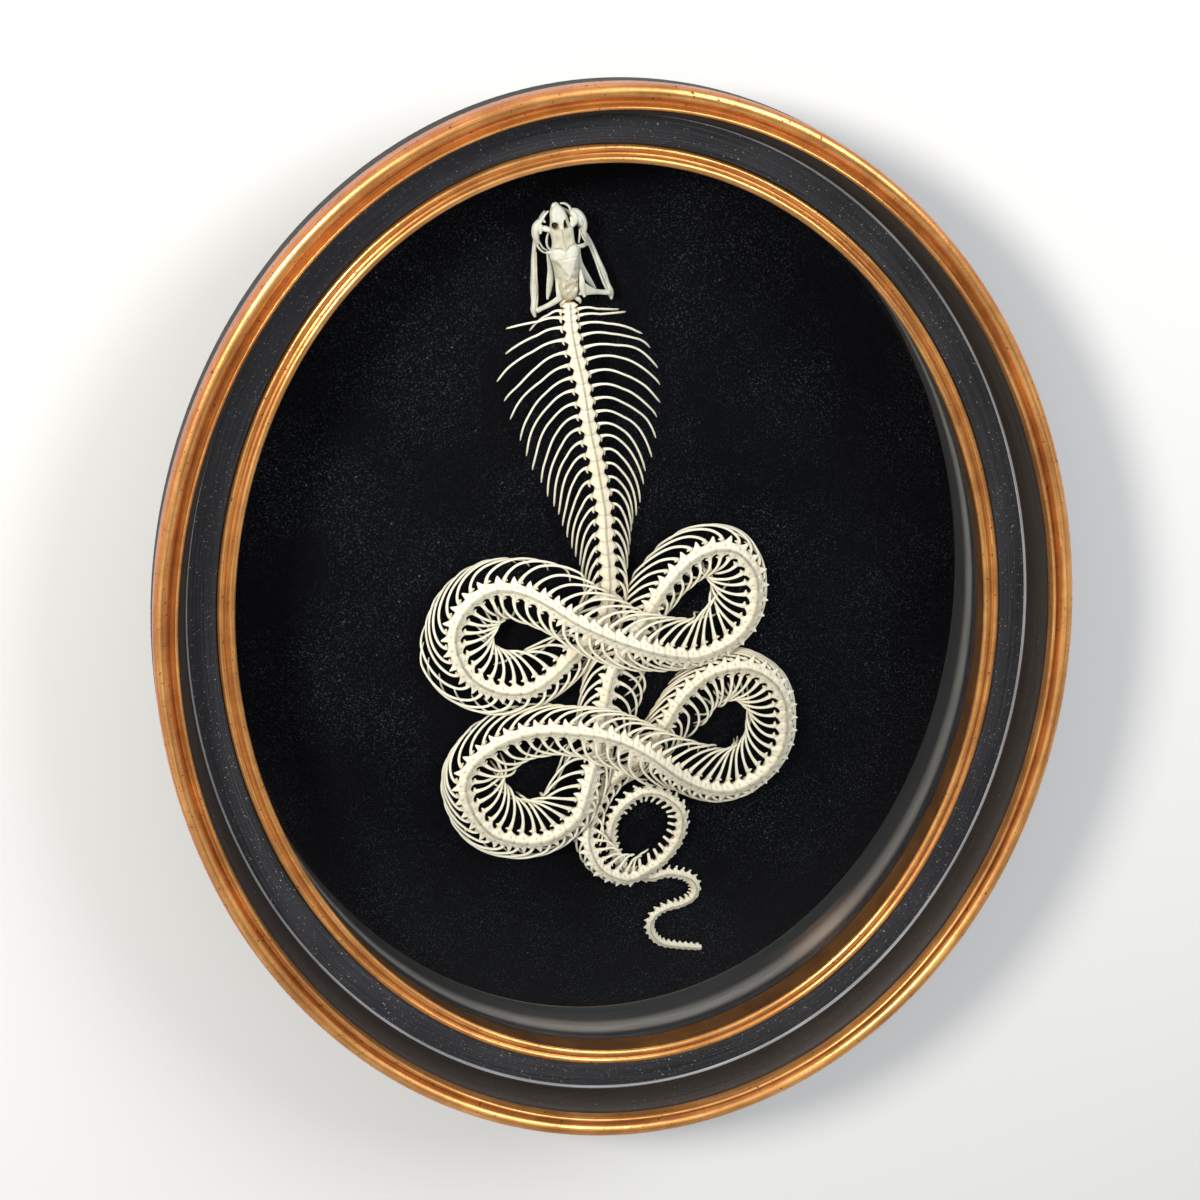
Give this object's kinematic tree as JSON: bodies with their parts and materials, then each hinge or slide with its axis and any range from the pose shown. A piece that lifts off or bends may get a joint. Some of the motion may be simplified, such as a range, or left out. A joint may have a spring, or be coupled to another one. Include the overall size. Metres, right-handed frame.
{
  "type": "framed snake skeleton",
  "caption": "Cobra skeleton laid in flat figure-of-eight loops on black velvet under glass, in a deep oval frame with black and gilt mouldings.",
  "frame": {"origin": "centre of the back board's back face, on the plane the frame lies on", "axes": "+Z out through the glass, +Y to the snake's head along the oval's long axis, +X across the oval"},
  "size_m": [0.3352, 0.4112, 0.0616],
  "materials": {
    "bone": "dry, degreased bone with a slight sheen, ivory with tan crevices",
    "gilt": "worn gilding over dark ground on wood",
    "ebonised_wood": "black satin paint with brush streaks and dust",
    "lining": "smooth blue-grey lining paper",
    "glass": "clear flat glass",
    "velvet": "black velvet with light dust specks",
    "back_board": "plain unfinished board"
  },
  "bodies": {
    "root": {"frame_gilt_rail": "gilt", "frame_moulding": "ebonised_wood", "frame_sight_beads": "gilt", "frame_box_wall": "ebonised_wood", "frame_lining": "lining", "frame_glass": "glass", "frame_velvet_board": "velvet", "frame_back_board": "back_board", "hood_left": "bone", "hood_right": "bone", "neck_left": "bone", "neck_right": "bone", "upper_left_loop_left": "bone", "upper_left_loop_right": "bone", "upper_crossing_left": "bone", "upper_crossing_right": "bone", "upper_right_loop_left": "bone", "upper_right_loop_right": "bone", "middle_left": "bone", "middle_right": "bone", "lower_left_loop_left": "bone", "lower_left_loop_right": "bone", "lower_crossing_left": "bone", "lower_crossing_right": "bone", "lower_right_loop_left": "bone", "lower_right_loop_right": "bone", "trunk_end_left": "bone", "trunk_end_right": "bone", "tail_loop_left": "bone", "tail_loop_right": "bone", "tail_tip_left": "bone", "tail_tip_right": "bone", "skull_cranium": "bone", "skull_maxilla_left": "bone", "skull_maxilla_right": "bone", "skull_pterygoid_left": "bone", "skull_pterygoid_right": "bone", "skull_quadrate_left": "bone", "skull_quadrate_right": "bone", "skull_mandible_left": "bone", "skull_mandible_right": "bone"}
  },
  "joints": []
}
